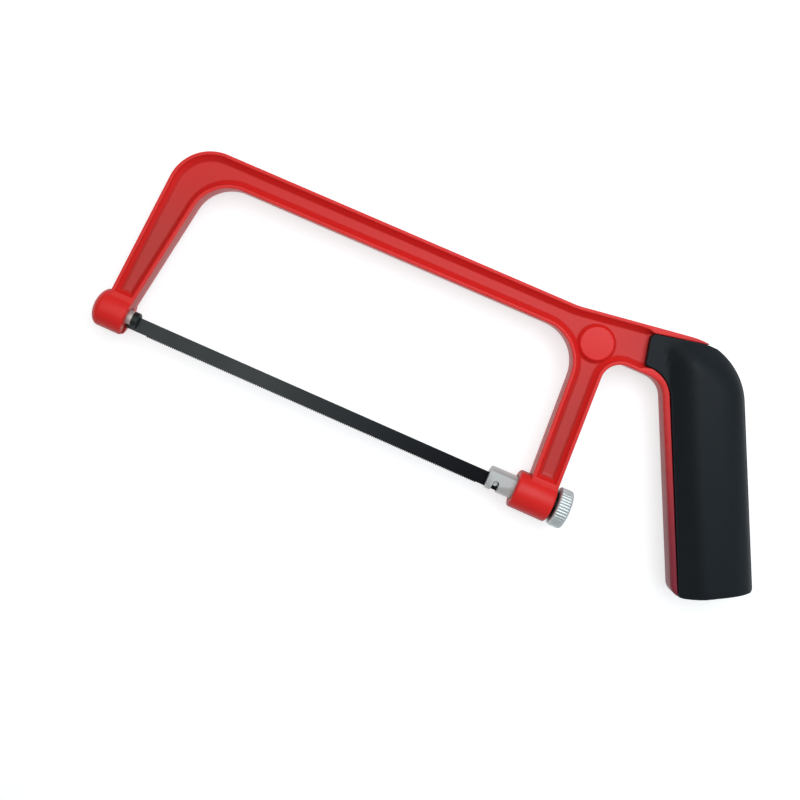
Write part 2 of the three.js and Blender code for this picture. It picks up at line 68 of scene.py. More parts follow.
def to_scene(points):
    """Scene place = origin + millimetres / 1000, for a whole array of points."""
    return np.asarray(points, float) / 1000 + ORIGIN


print("axis of the bosses at", np.round(ORIGIN * 1000, 2), "mm")

# %% [markdown]
# ## Meshes out of arrays
#
# Every new piece is one or more closed surfaces. Each surface is an array of points and a list of
# faces. A grid of points, rows by columns, becomes quads by pairing each point with its neighbours,
# and the same few lines serve a turned boss, a rim carried along a path and a crowned grip.


# %% Helpers for surfaces
SAME_PLACE = 1e-7  # points nearer than this many metres are one


def grid_faces(rows, columns, wrap_rows=False, wrap_columns=False):
    """Quads of a grid whose point (i, j) has number i * columns + j; a wrapped direction closes on
    its own start."""
    i = np.arange(rows if wrap_rows else rows - 1)
    j = np.arange(columns if wrap_columns else columns - 1)
    i, j = np.meshgrid(i, j, indexing="ij")
    i2 = (i + 1) % rows
    j2 = (j + 1) % columns
    quads = np.stack([i * columns + j, i2 * columns + j, i2 * columns + j2, i * columns + j2], -1)
    return quads.reshape(-1, 4)


class Surface:
    """Closed surfaces that will be one mesh: their points, faces and how exposed each point is."""

    def __init__(self):
        self.points = []
        self.faces = []
        self.exposed = []
        self.count = 0

    def add(self, points, faces, exposed=0.0):
        """Adds one closed surface. exposed is 1 on a worn edge and 0 on a sheltered face."""
        points = np.asarray(points, float).reshape(-1, 3)
        self.points.append(points)
        self.faces += [[int(k) + self.count for k in face] for face in faces]
        self.exposed.append(np.broadcast_to(np.asarray(exposed, float).reshape(-1), (len(points),)))
        self.count += len(points)


def closed_mesh(name, surface):
    """A mesh in scene metres, with doubles merged and every face pointing outwards."""
    mesh = bpy.data.meshes.new(name)
    mesh.from_pydata(to_scene(np.concatenate(surface.points)).tolist(), [], surface.faces)
    layer = mesh.attributes.new("exposed", "FLOAT", "POINT")
    layer.data.foreach_set("value", np.concatenate(surface.exposed).astype(np.float32))
    work = bmesh.new()
    work.from_mesh(mesh)
    bmesh.ops.remove_doubles(work, verts=work.verts, dist=SAME_PLACE)
    bmesh.ops.dissolve_degenerate(work, edges=work.edges, dist=SAME_PLACE / 10)
    bmesh.ops.recalc_face_normals(work, faces=work.faces)
    work.to_mesh(mesh)
    work.free()
    return mesh


def piece(name, mesh, body, material, sharp=32):
    """An object at the origin that rides on a body, smooth except where faces meet at more than
    so many degrees."""
    mesh.name = name
    mesh.shade_smooth()
    mesh.set_sharp_from_angle(angle=math.radians(sharp))
    mesh.materials.clear()
    mesh.materials.append(material)
    thing = bpy.data.objects.new(name, mesh)
    bpy.context.scene.collection.objects.link(thing)
    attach(thing, body)
    edge_of_corner = np.empty(len(mesh.loops), int)
    mesh.loops.foreach_get("edge_index", edge_of_corner)
    open_edges = int((np.bincount(edge_of_corner, minlength=len(mesh.edges)) != 2).sum())
    print(f"{name}: {len(mesh.vertices)} points, {len(mesh.polygons)} faces, {open_edges} open edges")
    return thing


def cut(mesh, cutters):
    """The mesh with each cutter's volume taken away, worked out exactly."""
    thing = bpy.data.objects.new("work", mesh)
    bpy.context.scene.collection.objects.link(thing)
    tools = []
    for cutter in cutters:
        tool = bpy.data.objects.new("tool", cutter)
        bpy.context.scene.collection.objects.link(tool)
        step = thing.modifiers.new("cut", "BOOLEAN")
        step.operation = "DIFFERENCE"
        step.solver = "EXACT"
        step.object = tool
        tools.append(tool)
    depsgraph = bpy.context.evaluated_depsgraph_get()
    result = bpy.data.meshes.new_from_object(thing.evaluated_get(depsgraph))
    for tool in tools + [thing]:
        bpy.data.objects.remove(tool)
    return result


# %% [markdown]
# ## Turned shapes
#
# A boss, a knob and a disc are turned: a profile of radius against place along an axis goes once
# round. The radius may also change with the angle, which gives flats and a knurl.


# %% Turning a profile
def arc(centre, radius, start, stop, steps=6):
    """Points of a circle, centre + radius * (cos a, sin a), with a from start to stop in degrees."""
    a = np.radians(np.linspace(start, stop, steps + 1))
    return np.stack([centre[0] + radius * np.cos(a), centre[1] + radius * np.sin(a)], -1)


def turned(profile, sides=96, shape=None, closed=False):
    """Point = (x, r cos a, r sin a) for each (x, r) of the profile and each angle a. shape(x, r, a)
    may change r. A closed profile is a ring's, and any other starts and ends on the axis."""
    profile = np.asarray(profile, float)
    a = np.arange(sides) * 2 * np.pi / sides
    x, angle = np.meshgrid(profile[:, 0], a, indexing="ij")
    r = np.broadcast_to(profile[:, 1:2], x.shape)
    if shape is not None:
        r = shape(x, r, angle)
    points = np.stack([x, r * np.cos(angle), r * np.sin(angle)], -1)
    return points, grid_faces(len(profile), sides, wrap_rows=closed, wrap_columns=True)


# %% [markdown]
# ## Edges, corners and paths
#
# The outline of the frame is straight edges joined by round corners, as a pattern maker draws it. An
# edge is a line that knows which side the metal is on, so it can be moved into the metal by any
# amount, and a corner is where two edges meet.


# %% Edges of the frame
def edge(x, y, heading):
    """The line through (x, y) at a heading in degrees, with the metal on its right, kept as the
    numbers nx, ny and c of nx * X + ny * Y = c. (nx, ny) points into the metal."""
    a = math.radians(heading)
    nx, ny = math.sin(a), -math.cos(a)
    return np.array([nx, ny, nx * x + ny * y])


def inset(line, distance):
    """The same line moved into the metal."""
    return line + np.array([0, 0, distance])


def meet(a, b):
    """The point that lies on both lines."""
    return np.linalg.solve(np.array([a[:2], b[:2]]), np.array([a[2], b[2]]))


# Places and sizes in saw millimetres, and slopes in degrees
BOSS_RADIUS, BOSS_WALL = 7.4, 5.1
FRONT_FACE = -2.0
REAR_FACE, REAR_BOSS_END = 157.0, 172.45
HALF_FRAME, HALF_WEB = 5.0, 2.0
THROAT, SPINE_TOP, SPINE_SLOPE = 60.6, 71.0, 0.54
ARM_FRONT, ARM_FRONT_SLOPE = -11.7, 3.45
ARM_REAR, ARM_REAR_SLOPE = -2.7, 8.6
LEG_FRONT, LEG_FRONT_SLOPE = 161.55, 3.28
LEG_REAR, LEG_REAR_SLOPE = 172.3, 2.72
GAP_TOP, FINGER_GAP = 59.05, 21.95
RISE_START, RISE = 151.3, 8.5
HANDLE_LEAN, HANDLE_DEPTH = 26.1, 29.9
FRONT_LENGTH, BACK_LENGTH = 81.2, 79.2
HANDLE_FRONT = LEG_REAR - GAP_TOP * math.tan(math.radians(LEG_REAR_SLOPE)) + FINGER_GAP
RISE_LEVEL = SPINE_TOP + RISE_START * math.tan(math.radians(SPINE_SLOPE))

arm_front = edge(ARM_FRONT, 0, 90 - ARM_FRONT_SLOPE)
arm_rear = edge(ARM_REAR, 0, -90 - ARM_REAR_SLOPE)
spine_top = edge(0, SPINE_TOP, SPINE_SLOPE)
spine_under = edge(0, THROAT, 180 + SPINE_SLOPE)
handle_top = edge(RISE_START, RISE_LEVEL, RISE)
leg_front = edge(LEG_FRONT, 0, 90 + LEG_FRONT_SLOPE)
leg_rear = edge(LEG_REAR, 0, LEG_REAR_SLOPE - 90)
gap_top = edge(0, GAP_TOP, 180)
handle_front = edge(HANDLE_FRONT, GAP_TOP, 90 + HANDLE_LEAN)
handle_back = -handle_front - np.array([0, 0, HANDLE_DEPTH])
boss_wall = edge(0, BOSS_WALL, 180)


def on_handle(back, down):
    """A place back from the front edge of the handle, and down it from the top of the finger gap."""
    a = math.radians(HANDLE_LEAN)
    return np.array([
        HANDLE_FRONT + back * math.cos(a) + down * math.sin(a),
        GAP_TOP + back * math.sin(a) - down * math.cos(a),
    ])


toe = on_handle(0, FRONT_LENGTH)
heel = on_handle(HANDLE_DEPTH, BACK_LENGTH)
handle_bottom = edge(*heel, math.degrees(math.atan2(toe[1] - heel[1], toe[0] - heel[0])))
print("shoulder of the handle near", np.round(meet(handle_top, handle_back), 1))


# %% Paths with round corners
def path(lines, radii, spacing=2.0, arc_step=4):
    """A path along lines, whose first and last are only where it starts and stops. Corner k has
    radius radii[k]. The centre of a corner lies on both of its lines once they are moved by the
    radius, into the metal where the path turns right and out of it where it turns left. Gives the
    points and, at each, the unit vector into the metal."""
    points = [meet(lines[0], lines[1])]
    inward = [lines[1][:2]]
    for a, b, radius in zip(lines[1:-2], lines[2:-1], radii):
        from_angle = math.atan2(a[1], a[0])
        turn = (math.atan2(b[1], b[0]) - from_angle + math.pi) % (2 * math.pi) - math.pi
        side = -np.sign(turn)
        centre = meet(inset(a, side * radius), inset(b, side * radius))
        steps = max(2, math.ceil(abs(math.degrees(turn)) / arc_step))
        angle = from_angle + turn * np.linspace(0, 1, steps + 1)
        normal = np.stack([np.cos(angle), np.sin(angle)], -1)
        points += list(centre - side * radius * normal)
        inward += list(normal)
    points.append(meet(lines[-2], lines[-1]))
    inward.append(lines[-2][:2])
    points, inward = np.array(points), np.array(inward)
    run = np.concatenate([[0], np.cumsum(np.linalg.norm(np.diff(points, axis=0), axis=1))])
    extra = [np.linspace(s, e, max(2, int((e - s) / spacing) + 1))[:-1]
             for s, e in zip(run[:-1], run[1:])]
    at = np.append(np.concatenate(extra), run[-1])
    points = np.stack([np.interp(at, run, points[:, k]) for k in (0, 1)], -1)
    inward = np.stack([np.interp(at, run, inward[:, k]) for k in (0, 1)], -1)
    return points, inward / np.linalg.norm(inward, axis=1, keepdims=True)


# %% [markdown]
# ## The casting
#
# The frame is one casting: a thin web with a raised rim along every edge, like an I-beam, so that it
# is light and stiff. On each side the rim stands three millimetres proud, its inner wall leaning out
# so that the casting leaves its mould, and a round pad shows where the metal flowed in. Carrying a
# rim's section along each edge gives those walls their true fillets, which a bevel on a finished
# solid would not.


# %% The section of a rim
EDGE_RADIUS, INNER_RADIUS, COVE, BURIED = 0.63, 0.4, 0.5, 0.6


def rim_section(width, draft, edge_radius=EDGE_RADIUS):
    """A closed loop of (inset, height) for every point of a path: up the outside, round the outer
    edge, over a flat of the given width, round the inner edge, down a wall that leans by the
    draft, and round a cove into the web, where its foot is buried. Neither rounding takes more than
    its share of a narrow rim. The lower half mirrors the upper. Returns the loops and how exposed
    each of their points is."""
    width = np.asarray(width, float)[:, None]
    draft = np.asarray(draft, float)[:, None]
    outer = np.minimum(np.reshape(edge_radius, (-1, 1)), 0.8 * width)
    inner = np.minimum(INNER_RADIUS, 0.3 * width)
    a = np.radians(np.linspace(0, 90, 7))[None, :]
    u1 = outer * (1 - np.cos(a))
    z1 = HALF_FRAME - outer * (1 - np.sin(a))
    u2 = width - inner * (1 - np.sin(a))
    z2 = HALF_FRAME - inner * (1 - np.cos(a))
    t = np.linspace(0, 1, 9)[None, :]
    foot = width + draft + COVE
    corner = width + 0.93 * draft
    wall_u = (1 - t) ** 2 * width + 2 * t * (1 - t) * corner + t ** 2 * foot
    wall_z = HALF_WEB + (1 - t) ** 2 * (HALF_FRAME - inner - HALF_WEB)
    u = np.concatenate([u1, u2, wall_u[:, 1:], foot], 1)
    z = np.concatenate([z1, z2, wall_z[:, 1:], 0 * foot + HALF_WEB - BURIED], 1)
    loop_u = np.concatenate([u, u[:, ::-1]], 1)
    loop_z = np.concatenate([z, -z[:, ::-1]], 1)
    worn = np.concatenate([np.sin(2 * a[0]), 0.8 * np.sin(2 * a[0]), np.zeros(9)])
    worn = np.concatenate([worn, worn[::-1]])
    return np.stack([loop_u, loop_z], -1), worn


def swept(points, inward, loops):
    """Point = path + inset * inward, at the loop's height: a section carried along a path, with a
    flat face closing each end."""
    rows, columns = loops.shape[:2]
    plan = points[:, None, :] + loops[..., :1] * inward[:, None, :]
    solid = np.concatenate([plan, loops[..., 1:]], -1)
    faces = grid_faces(rows, columns, wrap_columns=True).tolist()
    faces.append(list(range(columns)))
    faces.append(list(range((rows - 1) * columns, rows * columns)))
    return solid, faces


# %% [markdown]
# The rims change where they pass the grip. There the rim is a plain strip that the grip's edge
# stands beside, and along the top it thins to nothing where the grip takes over the outline.

# %% The three rims
RIM_WIDTH, RIM_DRAFT = 1.4, 1.8
GAP_RIM, STRIP, TOP_RIM, TOP_TAPER = 2.9, 2.4, 2.5, 3.2
THINNEST, STRIP_ROUNDING, SEAM = 0.12, 1.2, 0.25
FRONT_CORNER, RISE_CORNER, SHOULDER = 17, 26, 26
THROAT_REAR_CORNER, THROAT_FRONT_CORNER = 15.5, 15
TOE_CORNER, GAP_REAR_CORNER, GAP_FRONT_CORNER = 4.5, 9, 7.5
GRIP_START, GRIP_SLOPE = (REAR_FACE + 24.8, GAP_TOP + 7.3), 12.9

grip_front = edge(*GRIP_START, 90 + GRIP_SLOPE)
grip_top = edge(*meet(grip_front, inset(handle_top, TOP_RIM)), RISE + TOP_TAPER)


def smooth(t):
    """3 t^2 - 2 t^3 between 0 and 1, level at both ends and beyond them."""
    t = np.clip(t, 0, 1)
    return t * t * (3 - 2 * t)


def past(line, points):
    """0 ahead of a line and 1 behind it, turning smoothly over a millimetre each side of it."""
    ahead = points @ line[:2] - line[2]
    return smooth(ahead / 2 + 0.5)


def width_to(line, points, inward):
    """How far it is from each point of a path, straight into the metal, to a line."""
    return (line[2] - points @ line[:2]) / (inward @ line[:2])


outer_lines = [boss_wall, arm_front, spine_top, handle_top, handle_back, handle_bottom]
outer_path, outer_in = path(outer_lines, [FRONT_CORNER, RISE_CORNER, SHOULDER])
in_grip = past(grip_front, outer_path)
to_grip = width_to(grip_top, outer_path, outer_in)
keep = (in_grip < 0.5) | (to_grip > THINNEST)
keep &= np.cumsum(~keep) == 0
outer_path, outer_in = outer_path[keep], outer_in[keep]
in_grip, to_grip = in_grip[keep], to_grip[keep]
outer_width = RIM_WIDTH * (1 - in_grip) + to_grip * in_grip
outer_loops, outer_worn = rim_section(outer_width, RIM_DRAFT * (1 - in_grip))

inner_lines = [boss_wall, leg_front, spine_under, arm_rear, boss_wall]
inner_path, inner_in = path(inner_lines, [THROAT_REAR_CORNER, THROAT_FRONT_CORNER])
even = np.ones(len(inner_path))
inner_loops, inner_worn = rim_section(RIM_WIDTH * even, RIM_DRAFT * even)

strip_line = inset(handle_front, STRIP)
gap_lines = [inset(handle_front, 12), handle_bottom, handle_front, gap_top, leg_rear, boss_wall]
gap_path, gap_in = path(gap_lines, [TOE_CORNER, GAP_REAR_CORNER, GAP_FRONT_CORNER])
ahead_of_strip = strip_line[2] - gap_path @ strip_line[:2]
keep = np.cumsum(ahead_of_strip > THINNEST / 2) > 0
gap_path, gap_in, ahead_of_strip = gap_path[keep], gap_in[keep], ahead_of_strip[keep]
gap_in_grip = past(grip_front, gap_path)
along_strip = np.clip((gap_in @ handle_front[:2] - gap_top[:2] @ handle_front[:2])
                      / (1 - gap_top[:2] @ handle_front[:2]), 0, 1)
grip_rim = GAP_RIM + (STRIP - GAP_RIM) * along_strip
gap_width = RIM_WIDTH * (1 - gap_in_grip) + grip_rim * gap_in_grip
toe_arc = np.cumsum(ahead_of_strip > STRIP - 1e-3) == 0
gap_width[toe_arc] = width_to(strip_line, gap_path[toe_arc], gap_in[toe_arc])
gap_loops, gap_worn = rim_section(gap_width, RIM_DRAFT * (1 - gap_in_grip),
                                  EDGE_RADIUS + STRIP_ROUNDING * along_strip * gap_in_grip)
print("rim over the grip:", np.round(to_grip[in_grip > 0.5][[0, -1]], 2), "mm")

# %% [markdown]
# The web fills the space between the rims. It is a flat plate whose border is buried in them, and a
# second plate, the tongue, carries it on into the grip. At each boss the hollow ends in a small bank
# that rises from the web.


# %% Plates and banks
BITE = 1.0  # how deep one part of the casting is buried in the next
SHARP = 0.1  # the radius of a corner that is buried
BANK_TOP, BANK_EDGE, BANK_KNEE, BANK_FOOT = 7.7, 0.5, 1.0, 2.6
TONGUE_INSET, TONGUE_THINNER, TONGUE_ROOT = 4.5, 0.06, 4.0


def plate(outline, bottom, top):
    """Two copies of an outline, one at each height, joined by a wall."""
    n = len(outline)
    points = np.concatenate([np.column_stack([outline, np.full(n, z)]) for z in (bottom, top)])
    faces = [list(range(n)), list(range(n, 2 * n))] + grid_faces(2, n, wrap_columns=True).tolist()
    return points, faces


def outline(lines, radii):
    """A closed outline: the round corners of a path that comes back to its first line, with
    nothing between them, because the spacing is longer than the saw."""
    points, _ = path([lines[-1]] + list(lines) + [lines[0]], radii, spacing=400)
    return points[1:] if np.allclose(points[0], points[-1]) else points


def bank(front, rear):
    """A bar between two edges, level with the rims at its boss and falling in a cove to the web."""
    a = np.radians(np.linspace(0, 90, 7))
    shelf = np.stack([BANK_TOP - BANK_EDGE * (1 - np.sin(a)),
                      HALF_FRAME - BANK_EDGE * (1 - np.cos(a))], -1)
    t = np.linspace(0, 1, 8)[1:, None]
    knee = np.array([BANK_TOP + BANK_KNEE, HALF_WEB])
    foot = np.array([BANK_TOP + BANK_FOOT, HALF_WEB])
    slope = (1 - t) ** 2 * shelf[-1] + 2 * t * (1 - t) * knee + t ** 2 * foot
    upper = np.concatenate([[[BOSS_WALL, HALF_FRAME]], shelf, slope, [foot - [0, BURIED]]])
    section = np.concatenate([upper, upper[::-1] * [1, -1]])
    ends = []
    for side in (inset(front, BITE), inset(rear, BITE)):
        x = (side[2] - side[1] * section[:, 0]) / side[0]
        ends.append(np.column_stack([x, section[:, 0], section[:, 1]]))
    n = len(section)
    faces = grid_faces(2, n, wrap_columns=True).tolist() + [list(range(n)), list(range(n, 2 * n))]
    return np.concatenate(ends), faces


casting = Surface()
for points, inward, loops, worn in (
    (outer_path, outer_in, outer_loops, outer_worn),
    (inner_path, inner_in, inner_loops, inner_worn),
    (gap_path, gap_in, gap_loops, gap_worn),
):
    solid, faces = swept(points, inward, loops)
    casting.add(solid, faces, np.tile(worn, len(points)))

in_boss, past_root = inset(boss_wall, -BITE), inset(-grip_front, -TONGUE_ROOT - 2)
bow = [inset(line, BITE) for line in (
    arm_front, spine_top, handle_top, past_root, gap_top, leg_rear,
    in_boss, leg_front, spine_under, arm_rear, in_boss)]
# Near the radii of the rims, so that the border stays buried in them
bow_radii = [16, 27, SHARP, SHARP, 8.5, SHARP, SHARP, 16.5, 16, SHARP]
casting.add(*plate(outline(bow, bow_radii), -HALF_WEB, HALF_WEB))

root = inset(grip_front, -TONGUE_ROOT)
tongue_lines = [root, *(inset(line, TONGUE_INSET) for line in (handle_top, handle_back, handle_bottom)),
                inset(handle_front, BITE), inset(gap_top, BITE)]
tongue_radii = [SHARP, SHOULDER - TONGUE_INSET, 2, SHARP, 10]
half_tongue = HALF_WEB - TONGUE_THINNER
casting.add(*plate(outline(tongue_lines, tongue_radii), -half_tongue, half_tongue))
casting.add(*bank(arm_front, arm_rear))
casting.add(*bank(leg_front, leg_rear))
print("casting so far:", casting.count, "points")

# %% [markdown]
# The bosses and the pads are turned. The front boss has a domed end and a blind bore for the fixed
# stud. The rear boss is bored right through, with flats, so that its stud can slide but not turn.

# %% The front boss
FRONT_TIP, DOME = FRONT_FACE - 13.8, 4
FRONT_BORE, BORE_FLOOR = 3.35, FRONT_FACE - 9.75
FACE_ROUND, BORE_CHAMFER = 0.9, 0.6
dome = np.radians(np.arange(5, 91, 5))
front_profile = np.concatenate([
    [[FRONT_TIP, 0]],
    np.stack([FRONT_TIP + DOME * (1 - np.cos(dome)), BOSS_RADIUS * np.sin(dome)], -1),
    arc((FRONT_FACE - FACE_ROUND, BOSS_RADIUS - FACE_ROUND), FACE_ROUND, 90, 0),
    [[FRONT_FACE, FRONT_BORE + BORE_CHAMFER], [FRONT_FACE - BORE_CHAMFER, FRONT_BORE],
     [BORE_FLOOR, FRONT_BORE], [BORE_FLOOR, 0]],
])
front_boss = Surface()
front_boss.add(*turned(front_profile))


def bar(place, profile, sides=64):
    """A stepped round bar along Z at a place on the saw, from pairs of height and radius."""
    points, faces = turned(profile, sides=sides)
    solid = Surface()
    points = [points[..., 1] + place[0], points[..., 2] + place[1], points[..., 0]]
    solid.add(np.stack(points, -1), faces)
    return closed_mesh("bar", solid)


def block(x0, x1, y0, y1, half):
    """A rectangular block between four planes, as far to one side as to the other."""
    solid = Surface()
    solid.add(*plate(np.array([[x0, y0], [x1, y0], [x1, y1], [x0, y1]]), -half, half))
    return closed_mesh("block", solid)


# A cutter runs well past the saw. The blade needs a slot in the boss, and its pin needs room there.
RUN_OUT, AHEAD = 20, 3
PIN_PLACE, PIN_RADIUS, PIN_END = (FRONT_FACE - 4.75, 0), 1.5, 4.75
SLOT_START, SLOT_TOP, SLOT_HALF = -3.5, 1.9, 0.625
ROOM_START, ROOM_TOP, ROOM_HALF = -2.85, -0.1, 2.1
pin_profile = [[-RUN_OUT, 0], [-RUN_OUT, PIN_RADIUS], [PIN_END, PIN_RADIUS], [PIN_END, 0]]
front_boss = cut(closed_mesh("front_boss", front_boss), [
    bar(PIN_PLACE, pin_profile, sides=48),
    block(SLOT_START, AHEAD, -RUN_OUT, SLOT_TOP, SLOT_HALF),
    block(ROOM_START, AHEAD, -RUN_OUT, ROOM_TOP, ROOM_HALF),
])

# %% The rear boss and the pads
FLAT_HALF, BAR_BORE, BAR_DEPTH, SHANK_BORE = 3.75, 4.8, 8.3, 2.8
BOSS_ROUND = 1


def flatted(x, r, a):
    """Radius of a round hole with two flats across Z, only where the hole is for the flatted bar."""
    flats = FLAT_HALF / np.maximum(np.abs(np.sin(a)), 1e-6)
    return np.where(np.abs(r - BAR_BORE) < 0.05, np.minimum(r, flats), r)


rear_profile = np.concatenate([
    [[REAR_FACE + BAR_DEPTH, BAR_BORE], [REAR_FACE + 0.02, BAR_BORE], [REAR_FACE, BAR_BORE + 0.06]],
    arc((REAR_FACE + BOSS_ROUND, BOSS_RADIUS - BOSS_ROUND), BOSS_ROUND, 180, 90),
    arc((REAR_BOSS_END - BOSS_ROUND, BOSS_RADIUS - BOSS_ROUND), BOSS_ROUND, 90, 0),
    [[REAR_BOSS_END, SHANK_BORE], [REAR_FACE + BAR_DEPTH, SHANK_BORE]],
])
casting.add(*turned(rear_profile, shape=flatted, closed=True))

PAD = np.array([163.3, 62.3])
# Height from the middle of the web, and radius
pad_profile = np.concatenate([
    [[1.0, 0], [1.0, 7.9], [2.005, 7.85], [2.03, 7.6], [2.12, 7.38], [2.35, 7.2]],
    arc((3.8, 6.0), 0.4, 62, 0, 5),
    [[4.2, 0]],
])
points, faces = turned(pad_profile)
for side in (1, -1):
    casting.add(np.stack([points[..., 1] + PAD[0], points[..., 2] + PAD[1], side * points[..., 0]], -1),
                faces)
print("pads at", PAD)

# %% [markdown]
# The front boss was bored on its own, so it joins the rest here. The outer surfaces meet where the
# casting's own parts would, and the whole is one object that stands for the solid frame.

# %% One casting
red_paint = bpy.data.materials.new("red_paint")


def joined(name, meshes):
    """One mesh holding several."""
    work = bmesh.new()
    for mesh in meshes:
        work.from_mesh(mesh)
    result = bpy.data.meshes.new(name)
    work.to_mesh(result)
    work.free()
    return result


casting_mesh = joined("casting", [closed_mesh("casting", casting), front_boss])
casting_piece = piece("casting", casting_mesh, "frame", red_paint)
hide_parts("frame")

# %% [markdown]
# ## The grip
#
# Two black shells close over the tongue of the casting. Each is crowned: low beside the red strip at
# the front, high along the middle and falling away in a round back. The crown is one function of
# place, so any grid laid over the outline takes its height from it. The grid here is a fan, in rings
# from the outline to a curve along the middle of the grip, which follows both the straight handle
# and the lobe over the fingers. Both sides of the fan meet that curve at the same points, so the
# shell is closed along its crest.

# %% The height of a shell
GRIP_HALF = 11.5
GRIP_EDGE = 5.4
BACK_EDGE = 4.5
SHOULDER_TURN = 90 - HANDLE_LEAN + RISE
CREST_START, CREST_END, TOP_FALL = 12.0, 17.9, 12.2
LOBE_BLEND, FRONT_BLEND = 2, 3
SLOW_POWER, ROUND_POWER = 1.15, 2.3
shoulder_centre = meet(inset(handle_top, SHOULDER), inset(handle_back, SHOULDER))


def ease(t):
    """A quarter wave: steep at 0 and level at 1."""
    return np.sin(np.clip(t, 0, 1) * np.pi / 2)


def crown(points):
    """Height of the shell over a place = edge height + (half height - edge height) * front * outer,
    less a little beside the back. front rises from 0 to 1 over the first ten millimetres behind the
    strip, or inside the lobe. outer does so with the distance in from the top edge, the round
    shoulder and the back, as a slow wave under the top edge and as a fuller, rounder curve along the
    back, mixed by the angle round the shoulder."""
    back = points @ handle_front[:2] - handle_front[2]
    below = points @ handle_top[:2] - handle_top[2]
    over_gap = points @ gap_top[:2] - gap_top[2] - GAP_RIM
    from_web = grip_front[2] - points @ grip_front[:2]
    in_lobe = (over_gap + from_web - np.hypot(over_gap - from_web, LOBE_BLEND)) / 2
    in_strip = back - STRIP
    in_front = (in_strip + in_lobe + np.hypot(in_strip - in_lobe, FRONT_BLEND)) / 2
    front = ease(in_front / (CREST_START - STRIP)) ** SLOW_POWER
    spoke = points - shoulder_centre
    up = -handle_top[:2]
    turn = np.arctan2(spoke @ np.array([up[1], -up[0]]), spoke @ up) / math.radians(SHOULDER_TURN)
    in_round = SHOULDER - np.linalg.norm(spoke, axis=-1)
    inside = np.where(turn < 0, below, np.where(turn > 1, HANDLE_DEPTH - back, in_round))
    share = smooth(turn)
    slow = ease(inside / TOP_FALL) ** SLOW_POWER
    full = (1 - np.clip(1 - inside / (HANDLE_DEPTH - CREST_END), 0, 1) ** ROUND_POWER) ** 0.5
    outer = slow + (full - slow) * share
    return GRIP_EDGE + front * ((GRIP_HALF - GRIP_EDGE) * outer
                                - (GRIP_EDGE - BACK_EDGE) * share * (1 - outer))


# %% The outline of the grip
front_line = inset(grip_front, SEAM)
top_line = inset(grip_top, SEAM)
under_line = inset(gap_top, GAP_RIM + SEAM)
LOBE_UNDER, LOBE_TOP = 185.0, 188.0

lobe_lines = [edge(LOBE_UNDER, 0, 90), under_line, front_line, top_line, edge(LOBE_TOP, 0, 90)]
lobe, _ = path(lobe_lines, [1, 2], spacing=1.0)
over = (in_grip > 0.5) & (outer_path[:, 0] > LOBE_TOP)
top_side = outer_path[over] + outer_in[over] * (to_grip[over] + SEAM)[:, None]
around, _ = path([grip_front, handle_top, handle_back, handle_bottom, handle_front, gap_top],
                 [SHOULDER, 2, TOE_CORNER])
start = np.argmin(np.linalg.norm(around - top_side[-1], axis=1)) + 2
behind_strip = around @ handle_front[:2] - handle_front[2] - STRIP - SEAM
around = around[start:][behind_strip[start:] > 0.15]
toe_centre = meet(inset(handle_front, TOE_CORNER), inset(handle_bottom, TOE_CORNER))
side_step = TOE_CORNER - STRIP - SEAM
down_step = (TOE_CORNER ** 2 - side_step ** 2) ** 0.5
toe_point = (toe_centre - side_step * handle_front[:2]
             + down_step * np.array([handle_front[1], -handle_front[0]]))
beside = (gap_in_grip > 0.5) & (gap_path[:, 0] > LOBE_UNDER) & ~toe_arc
strip_side = gap_path[beside] + gap_in[beside] * (gap_width[beside] + SEAM)[:, None]
grip_ring = np.concatenate([lobe, top_side, around, [toe_point], strip_side[1:]])
gap_steps = np.linalg.norm(np.diff(grip_ring, axis=0, append=grip_ring[:1]), axis=1)
print("outline of the grip:", len(grip_ring), "points, steps", np.round(gap_steps.min(), 2), "to",
      np.round(gap_steps.max(), 2), "mm")

# %% A shell as a fan of rings
MIDDLE_STEP, RINGS, RING_POWER = 2.5, 34, 1.9
LIP, PARTING_CHAMFER, PARTING_RISE = 0.35, 0.3, 0.35
# The middle curve bends from the lobe to the handle, and then runs straight down it
controls = np.array([[186.5, 68.8], on_handle(15.0, -6), on_handle(16.0, 12), on_handle(16.0, 76)])
t = np.linspace(0, 1, 160)[:, None]
middle = np.concatenate([
    (1 - t) ** 2 * controls[0] + 2 * t * (1 - t) * controls[1] + t ** 2 * controls[2],
    (1 - t[1:]) * controls[2] + t[1:] * controls[3]])
run = np.append(0, np.cumsum(np.linalg.norm(np.diff(middle, axis=0), axis=1)))
at = np.linspace(0, run[-1], int(run[-1] / MIDDLE_STEP) + 1)
middle = np.stack([np.interp(at, run, middle[:, k]) for k in (0, 1)], -1)
nearest = np.linalg.norm(grip_ring[:, None] - middle[None], axis=2).argmin(1)
lobe_end, toe_end = sorted([nearest.argmin(), nearest.argmax()])
one_side = np.arange(lobe_end, toe_end + 1)
other_side = np.append(np.arange(toe_end, len(nearest)), np.arange(lobe_end + 1))
shared = np.intersect1d(nearest[one_side], nearest[other_side])
hub = middle[shared[np.abs(nearest[:, None] - shared).argmin(1)]]
print("places along the middle that both sides meet at:", len(shared), "of", len(middle))
ahead = np.roll(grip_ring, -1, 0) - np.roll(grip_ring, 1, 0)
ahead /= np.linalg.norm(ahead, axis=1, keepdims=True)
ring_in = np.stack([ahead[:, 1], -ahead[:, 0]], -1)


